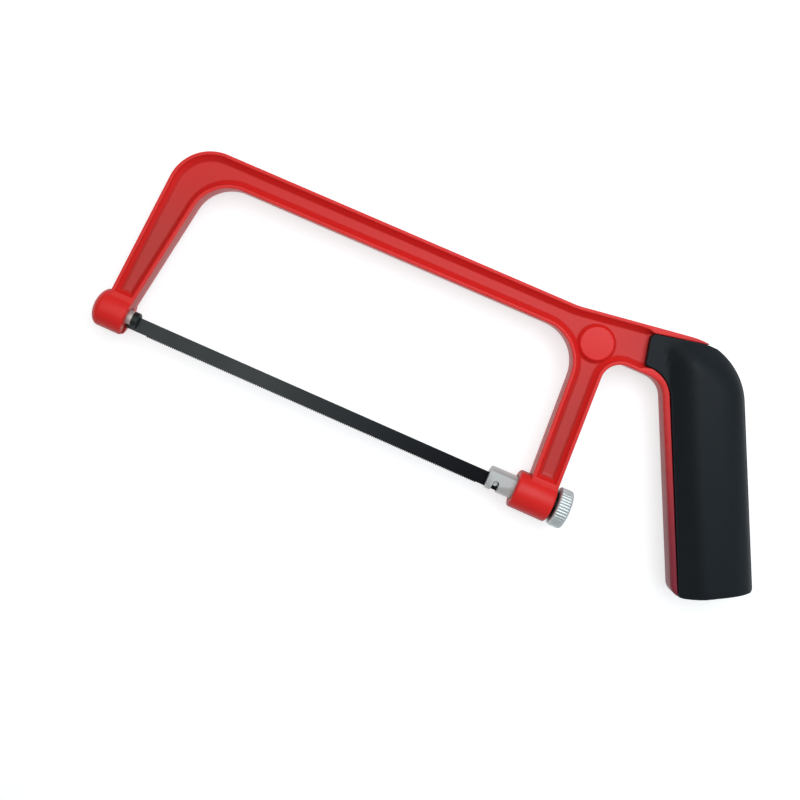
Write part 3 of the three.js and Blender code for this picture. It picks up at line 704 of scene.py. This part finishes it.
def shell(side):
    """Ring k = outline moved towards the middle by a share that starts small and grows, at the
    crown's height. Below it come a rounded lip, the side wall and a small chamfer at the parting
    line. Closed by a flat face on the parting plane, and along the middle by both sides' last
    rings, which meet there point for point."""
    parting = np.full(len(grip_ring), SEAM / 2)
    loops = [np.column_stack([grip_ring + PARTING_CHAMFER * ring_in, parting]),
             np.column_stack([grip_ring, parting + PARTING_RISE])]
    lip_start = grip_ring + LIP * ring_in
    lip_top = crown(lip_start)
    for a in np.radians(np.linspace(0, 75, 5)):
        loops.append(np.column_stack([grip_ring + LIP * (1 - np.cos(a)) * ring_in,
                                      lip_top - LIP * (1 - np.sin(a))]))
    for k in range(RINGS + 1):
        share = (k / RINGS) ** RING_POWER
        plan = lip_start + (hub - lip_start) * share
        loops.append(np.column_stack([plan, crown(plan)]))
    loops = np.array(loops)
    faces = grid_faces(loops.shape[0], loops.shape[1], wrap_columns=True).tolist()
    faces.append(list(range(loops.shape[1])))
    worn = np.zeros(loops.shape[:2])
    worn[3:7] = 1  # the loops round the lip
    body = Surface()
    body.add(loops * [1, 1, side], faces, worn)
    return closed_mesh("shell", body)


pocket = Surface()
pocket_lines = [inset(line, -SEAM) for line in tongue_lines]
pocket.add(*plate(outline(pocket_lines, tongue_radii), -HALF_WEB - SEAM, HALF_WEB + SEAM))
tongue_pocket = closed_mesh("pocket", pocket)
SCREWS = [on_handle(16.5, down) for down in (5, 38, 70)]
SCREW_BORE, HEAD_BORE, HEAD_SEAT, BLIND_END = 2.0, 3.75, -6, 7.75
blind_hole = [[-1, 0], [-1, SCREW_BORE], [BLIND_END, SCREW_BORE], [BLIND_END, 0]]
head_hole = [[-RUN_OUT, 0], [-RUN_OUT, HEAD_BORE], [HEAD_SEAT, HEAD_BORE], [HEAD_SEAT, SCREW_BORE],
             [1, SCREW_BORE], [1, 0]]
left = cut(shell(1), [tongue_pocket] + [bar(place, blind_hole) for place in SCREWS])
right = cut(shell(-1), [tongue_pocket] + [bar(place, head_hole) for place in SCREWS])

black_grip = bpy.data.materials.new("black_grip")
for side, mesh in (("left", left), ("right", right)):
    shell_piece = piece("grip_" + side, mesh, "frame", black_grip, sharp=28)
    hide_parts("grip_shell_" + side)

# %% [markdown]
# ## Small metal parts
#
# The knob is turned with a straight knurl, so its radius rises and falls 36 times round, and the
# knurl fades out where the ends are chamfered. The studs, pins, washer and screws keep the shapes of
# the exact solids, with their edges broken by a fine bevel as a deburred part's are.

# %% The knob
KNOB_START, KNOB_LENGTH, KNOB_RADIUS = 173.65, 5.2, 7.55
KNOB_BORE, KNOB_ROUND, RIDGES, RIDGE = 2.8, 0.9, 36, 0.2
knob_end = KNOB_START + KNOB_LENGTH
knob_profile = np.concatenate([
    [[knob_end - 1.2, 0], [knob_end - 1.2, KNOB_BORE]],
    [[KNOB_START + 0.4, KNOB_BORE], [KNOB_START, KNOB_BORE + 0.4]],
    [[KNOB_START, KNOB_RADIUS - 0.95]],
    arc((KNOB_START + KNOB_ROUND, KNOB_RADIUS - KNOB_ROUND), KNOB_ROUND, 165, 90, 5),
    [[KNOB_START + 2.0, KNOB_RADIUS], [knob_end - 2.0, KNOB_RADIUS]],
    arc((knob_end - KNOB_ROUND, KNOB_RADIUS - KNOB_ROUND), KNOB_ROUND, 90, 0, 6),
    [[knob_end, KNOB_RADIUS - 1.3], [knob_end - 0.25, KNOB_RADIUS - 1.8], [knob_end - 0.25, 0]],
])


def knurled(x, r, a):
    """Radius less a ridge's depth times a rounded wave of the angle, only on the rim of the knob."""
    wave = np.abs(np.sin(a * RIDGES / 2)) ** 0.7
    rim = np.clip((r - (KNOB_RADIUS - 0.7)) / 0.6, 0, 1)
    return r - RIDGE * (1 - wave) * rim


knob = Surface()
knob.add(*turned(knob_profile, sides=RIDGES * 8, shape=knurled))
zinc = bpy.data.materials.new("zinc_plate")
knob_piece = piece("knob", closed_mesh("knob", knob), "tension_knob", zinc, sharp=40)
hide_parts("tension_knob")


# %% Deburred copies of the exact solids
def deburred(node, body, material, bevel):
    """A copy of a solid with its triangles merged into flat faces and its edges bevelled, in mm."""
    work = bmesh.new()
    work.from_mesh(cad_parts[node].data)
    bmesh.ops.remove_doubles(work, verts=work.verts, dist=SAME_PLACE)
    bmesh.ops.dissolve_limit(work, angle_limit=math.radians(1), verts=work.verts, edges=work.edges)
    mesh = bpy.data.meshes.new(node)
    work.to_mesh(mesh)
    work.free()
    copy = piece(node + "_fine", mesh, body, material, sharp=30)
    step = copy.modifiers.new("deburr", "BEVEL")
    step.width = bevel / 1000
    step.segments = 2
    step.limit_method = "ANGLE"
    step.angle_limit = math.radians(30)
    step.harden_normals = True
    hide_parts(node)


steel = bpy.data.materials.new("bright_steel")
blued = bpy.data.materials.new("blued_steel")
stud_steel_shaded_tip = bpy.data.materials.new("stud_steel_shaded_tip")
deburred("front_stud", "frame", stud_steel_shaded_tip, 0.12)
deburred("tension_stud", "tension_stud", steel, 0.15)
deburred("front_stud_pin", "frame", zinc, 0.08)
# The washer lies past the end of the blade's fade, so it is near black: painted shade in the gap
# between the rear boss and the knob
deburred("thrust_washer", "frame", blued, 0.1)
deburred("blade_pin_front", "blade", steel, 0.12)
deburred("blade_pin_rear", "blade", steel, 0.12)
for place in ("top", "middle", "bottom"):
    deburred("grip_screw_" + place, "frame", zinc, 0.15)
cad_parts["blade"].data.materials.clear()
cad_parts["blade"].data.materials.append(blued)

# %% [markdown]
# ## Finishes
#
# Two effects are shared, so each is a node group: a fine surface ripple for the height of a bump,
# and wear, which is where a point is exposed or the noise says it has been rubbed. Some colours
# also change with place, and these are painted light and shade: the paint is darker in the recesses
# of the casting, down its legs and at the front of the handle, the blade darkens towards its rear
# where it reflects less light, and the front stud's tip is near black as its shadowed slot would be.
# A mask that rises between two places mixes those in.


# %% Building materials
def group(name, inputs, outputs):
    """A node group with number inputs and outputs, and its own input and output nodes."""
    tree = bpy.data.node_groups.new(name, "ShaderNodeTree")
    for label, default in inputs:
        socket = tree.interface.new_socket(label, in_out="INPUT", socket_type="NodeSocketFloat")
        socket.default_value = default
    for label in outputs:
        tree.interface.new_socket(label, in_out="OUTPUT", socket_type="NodeSocketFloat")
    return tree, tree.nodes.new("NodeGroupInput"), tree.nodes.new("NodeGroupOutput")


def place_noise(tree, scale, detail, roughness=0.5):
    """Noise between 0 and 1 in the object's own metres, with about scale bumps to a metre."""
    where = tree.nodes.new("ShaderNodeTexCoord")
    noise = tree.nodes.new("ShaderNodeTexNoise")
    noise.inputs["Scale"].default_value = scale
    noise.inputs["Detail"].default_value = detail
    noise.inputs["Roughness"].default_value = roughness
    tree.links.new(where.outputs["Object"], noise.inputs["Vector"])
    return noise.outputs["Fac"]


def maths(tree, operation, a, b=None):
    """One sum or product of sockets or numbers."""
    node = tree.nodes.new("ShaderNodeMath")
    node.operation = operation
    for socket, value in zip(node.inputs, (a, b)):
        if isinstance(value, (int, float)):
            socket.default_value = value
        elif value is not None:
            tree.links.new(value, socket)
    return node.outputs[0]


ripple, ripple_in, ripple_out = group("surface_ripple", [("Coarse", 1.0), ("Fine", 1.0)], ["Height"])
coarse = maths(ripple, "MULTIPLY", place_noise(ripple, 700, 1.5), ripple_in.outputs["Coarse"])
fine = maths(ripple, "MULTIPLY", place_noise(ripple, 4200, 3, 0.6), ripple_in.outputs["Fine"])
ripple.links.new(maths(ripple, "ADD", coarse, fine), ripple_out.inputs["Height"])

wear, wear_in, wear_out = group("wear", [("Edges", 1.0), ("Rubs", 0.3)], ["Edge", "Patch"])
exposed = wear.nodes.new("ShaderNodeAttribute")
exposed.attribute_name = "exposed"
edges = maths(wear, "MULTIPLY", exposed.outputs["Fac"], place_noise(wear, 260, 4, 0.6))
wear.links.new(maths(wear, "MULTIPLY", edges, wear_in.outputs["Edges"]), wear_out.inputs["Edge"])
patches = maths(wear, "MULTIPLY", place_noise(wear, 45, 3), wear_in.outputs["Rubs"])
wear.links.new(patches, wear_out.inputs["Patch"])


def between(tree, axis, start, end, either_side=False):
    """A mask that rises smoothly from 0 to 1 between two places along an axis of the saw, in saw
    millimetres. It may count the distance to either side of the zero alike."""
    where = tree.nodes.new("ShaderNodeTexCoord")
    split = tree.nodes.new("ShaderNodeSeparateXYZ")
    reach = tree.nodes.new("ShaderNodeMapRange")
    reach.interpolation_type = "SMOOTHSTEP"
    reach.inputs["From Min"].default_value = start / 1000
    reach.inputs["From Max"].default_value = end / 1000
    tree.links.new(where.outputs["Object"], split.inputs[0])
    place = maths(tree, "SUBTRACT", split.outputs[axis], float(ORIGIN["XYZ".index(axis)]))
    if either_side:
        place = maths(tree, "ABSOLUTE", place)
    tree.links.new(place, reach.inputs["Value"])
    return reach.outputs["Result"]


def mixed(tree, factor, a, b):
    """Colour a where the factor is 0 and b where it is 1."""
    node = tree.nodes.new("ShaderNodeMix")
    node.data_type = "RGBA"
    tree.links.new(factor, node.inputs["Factor"])
    for socket, value in ((node.inputs["A"], a), (node.inputs["B"], b)):
        if isinstance(value, tuple):
            socket.default_value = (*value, 1)
        else:
            tree.links.new(value, socket)
    return node.outputs["Result"]


# Painted shade: the paint is darker at these depths in the casting, and darker still towards its legs
HOLLOW_SHADE_HEIGHTS = (2.3, 3.2)  # millimetres out from the middle of the casting
SPINE_TO_LEG_SHADE = (62, 30)  # millimetres from the blade's line towards the spine


def finish(material, base, worn_colour, patch_colour, roughness, rough_spread, metallic,
           edges, rubs, coarse, fine, bump, specular=0.5, hollow_shade=None, painted_fade=None):
    """A Principled surface: base colour, another in broad patches and a third where edges are worn.
    Roughness = its own + spread * patch, and the ripple, times bump in millimetres, is its relief.
    The hollow colours are painted shade: duller, darker paint in the recesses of the casting, at the
    spine and down its legs, where less light falls. The fade colour, also painted light and shade,
    takes over between two places along the saw."""
    material.use_nodes = True
    tree = material.node_tree
    shader = tree.nodes["Principled BSDF"]
    worn = tree.nodes.new("ShaderNodeGroup")
    worn.node_tree = wear
    worn.inputs["Edges"].default_value = edges
    worn.inputs["Rubs"].default_value = rubs
    relief = tree.nodes.new("ShaderNodeGroup")
    relief.node_tree = ripple
    relief.inputs["Coarse"].default_value = coarse
    relief.inputs["Fine"].default_value = fine
    colour = mixed(tree, worn.outputs["Patch"], base, patch_colour)
    colour = mixed(tree, worn.outputs["Edge"], colour, worn_colour)
    if hollow_shade:
        # Painted shade, darker in the recesses of the casting and darker still down its legs
        recess_shade = maths(tree, "SUBTRACT", 1.0, between(tree, "Z", *HOLLOW_SHADE_HEIGHTS, either_side=True))
        leg_shade = maths(tree, "MULTIPLY", recess_shade, between(tree, "Y", *SPINE_TO_LEG_SHADE))
        colour = mixed(tree, recess_shade, colour, hollow_shade[0])
        colour = mixed(tree, leg_shade, colour, hollow_shade[1])
    # A painted fade: a colour of painted light and shade takes over between two places along the saw
    if painted_fade:
        colour = mixed(tree, between(tree, "X", *painted_fade[1:]), colour, painted_fade[0])
    tree.links.new(colour, shader.inputs["Base Color"])
    rough = maths(tree, "ADD", maths(tree, "MULTIPLY", worn.outputs["Patch"], rough_spread), roughness)
    tree.links.new(rough, shader.inputs["Roughness"])
    shader.inputs["Metallic"].default_value = metallic
    shader.inputs["Specular IOR Level"].default_value = specular
    lift = tree.nodes.new("ShaderNodeBump")
    lift.inputs["Distance"].default_value = bump / 1000
    tree.links.new(relief.outputs["Height"], lift.inputs["Height"])
    tree.links.new(lift.outputs["Normal"], shader.inputs["Normal"])


# Its last two colours are painted shade: darker red in the recesses and down the legs, and a dim rose
# over the front of the handle
finish(red_paint, (0.76, 0.020, 0.017), (0.86, 0.09, 0.08), (0.68, 0.022, 0.019),
       roughness=0.32, rough_spread=0.2, metallic=0.0, edges=0.8, rubs=0.6,
       coarse=1.0, fine=0.1, bump=0.06, specular=0.22,
       hollow_shade=((0.61, 0.021, 0.018), (0.50, 0.036, 0.030)), painted_fade=((0.243, 0.030, 0.045), 187, 225))
finish(black_grip, (0.0060, 0.0090, 0.0115), (0.024, 0.030, 0.034), (0.010, 0.013, 0.016),
       roughness=0.46, rough_spread=0.15, metallic=0.0, edges=0.6, rubs=0.6,
       coarse=0.2, fine=1.0, bump=0.02, specular=0.15)
# The fade to near black towards the rear is a painted reflection: the blade is drawn darker where it
# reflects less light
finish(blued, (0.040, 0.046, 0.048), (0.12, 0.12, 0.12), (0.030, 0.035, 0.037),
       roughness=0.3, rough_spread=0.2, metallic=0.9, edges=0.5, rubs=0.8,
       coarse=0.1, fine=0.4, bump=0.008, painted_fade=((0.0045, 0.0045, 0.006), 20, 165))
finish(zinc, (0.64, 0.67, 0.67), (0.85, 0.85, 0.84), (0.54, 0.58, 0.57),
       roughness=0.34, rough_spread=0.25, metallic=0.7, edges=0.6, rubs=0.8,
       coarse=0.2, fine=0.5, bump=0.015)
MACHINED = dict(roughness=0.34, rough_spread=0.25, metallic=0.5, edges=0.6, rubs=0.8,
                coarse=0.1, fine=0.5, bump=0.012)
finish(steel, (0.55, 0.555, 0.54), (0.78, 0.78, 0.76), (0.46, 0.46, 0.45), **MACHINED)
# The near-black tip is painted shade, standing for the shadowed slot at the stud's end
finish(stud_steel_shaded_tip, (0.62, 0.61, 0.57), (0.8, 0.8, 0.77), (0.52, 0.51, 0.48), **MACHINED,
       painted_fade=((0.016, 0.022, 0.02), -0.6, -0.2))

# %% [markdown]
# ## Floor, light and camera
#
# The saw lies on its side on a white floor and is seen from straight above, from about a third of a
# metre and a little off its middle. Two large soft lamps hang over the front and the rear, and a
# smaller one leans in from behind the knob. The world around is dim, and dimmer overhead, where the
# camera is. What the camera sees of the floor and of the world near the horizon, itself or in a
# glossy surface, glows nearly white, and the floor keeps the saw's soft shadow.

# %% Floor
FLOOR_REACH, FLOOR_GREY, FLOOR_GLOW = 12.0, 0.6, 0.62


def seen(tree):
    """1 for a ray from the camera or off a glossy surface, and 0 for one that only lights things."""
    rays = tree.nodes.new("ShaderNodeLightPath")
    return maths(tree, "MAXIMUM", rays.outputs["Is Camera Ray"], rays.outputs["Is Glossy Ray"])


floor_mesh = bpy.data.meshes.new("floor")
corners = [(x * FLOOR_REACH, y * FLOOR_REACH, 0) for x, y in ((-1, -1), (1, -1), (1, 1), (-1, 1))]
floor_mesh.from_pydata(corners, [], [(0, 1, 2, 3)])
floor = bpy.data.objects.new("floor", floor_mesh)
bpy.context.scene.collection.objects.link(floor)
white = bpy.data.materials.new("white_floor")
white.use_nodes = True
tree = white.node_tree
shader = tree.nodes["Principled BSDF"]
shader.inputs["Base Color"].default_value = (FLOOR_GREY, FLOOR_GREY, FLOOR_GREY, 1)
shader.inputs["Roughness"].default_value = 0.9
shader.inputs["Specular IOR Level"].default_value = 0.0
shader.inputs["Emission Color"].default_value = (1, 1, 1, 1)
tree.links.new(maths(tree, "MULTIPLY", seen(tree), FLOOR_GLOW), shader.inputs["Emission Strength"])
floor_mesh.materials.append(white)
print("floor:", 2 * FLOOR_REACH, "metres across")

# %% World
WORLD_LIGHT, HORIZON_GLOW, GLOW_FALL = 0.3, 0.55, 4.0
world = bpy.data.worlds.new("pale_room")
bpy.context.scene.world = world
world.use_nodes = True
tree = world.node_tree
background = tree.nodes["Background"]
where = tree.nodes.new("ShaderNodeTexCoord")
split = tree.nodes.new("ShaderNodeSeparateXYZ")
tree.links.new(where.outputs["Generated"], split.inputs[0])
ramp = tree.nodes.new("ShaderNodeValToRGB")
shades = ramp.color_ramp.elements
shades[0].position, shades[0].color = 0.0, (0.9, 0.95, 1, 1)
shades[1].position, shades[1].color = 0.9, (0.6, 0.62, 0.65, 1)
tree.links.new(split.outputs["Z"], ramp.inputs["Fac"])
tree.links.new(ramp.outputs["Color"], background.inputs["Color"])
height = maths(tree, "MULTIPLY", split.outputs["Z"], GLOW_FALL)
low_down = maths(tree, "MAXIMUM", maths(tree, "SUBTRACT", 1.0, height), 0.0)
glow = maths(tree, "MULTIPLY", maths(tree, "MULTIPLY", seen(tree), low_down), HORIZON_GLOW)
tree.links.new(maths(tree, "ADD", glow, WORLD_LIGHT), background.inputs["Strength"])


# %% Lamps
def softbox(name, x, y, height, radiance, colour, lean=0):
    """A soft rectangular lamp that hangs over a rectangle of the floor, from x[0] to x[1] and y[0]
    to y[1] in saw millimetres, level or leaning to face -X. Its power = radiance * pi * area."""
    light = bpy.data.lights.new(name, "AREA")
    light.shape = "RECTANGLE"
    light.size, light.size_y = (x[1] - x[0]) / 1000, (y[1] - y[0]) / 1000
    light.energy = radiance * math.pi * light.size * light.size_y
    light.color = colour
    thing = bpy.data.objects.new(name, light)
    bpy.context.scene.collection.objects.link(thing)
    thing.location = to_scene([(x[0] + x[1]) / 2, (y[0] + y[1]) / 2, height])
    thing.rotation_euler = (0, math.radians(lean), 0)
    print(f"{name}: {light.energy:.2f} W")


softbox("front_softbox", (-260, 85), (-150, 420), 520, 1.85, (1.0, 0.96, 0.92))
softbox("rear_softbox", (85, 460), (28, 560), 520, 4.0, (0.86, 0.94, 1.0))
softbox("side_softbox", (480, 640), (-120, 180), 170, 1.5, (0.75, 0.9, 1.0), lean=68)

# %% Camera
CAMERA_PLACE, TILT = [96.4, 38.9, 378.6], 23.83
LENS, SENSOR = 45, 36
SHIFT_X, SHIFT_Y = -0.010625, -0.089375
camera_data = bpy.data.cameras.new("camera")
camera_data.lens = LENS
camera_data.sensor_width = SENSOR
camera_data.shift_x = SHIFT_X
camera_data.shift_y = SHIFT_Y
camera_data.clip_start = 0.01
camera = bpy.data.objects.new("camera", camera_data)
bpy.context.scene.collection.objects.link(camera)
camera.location = to_scene(CAMERA_PLACE)
camera.rotation_euler = (0, 0, math.radians(TILT))
bpy.context.scene.camera = camera
bpy.context.scene.view_settings.view_transform = "Standard"
print("camera at", np.round(camera.location, 4))
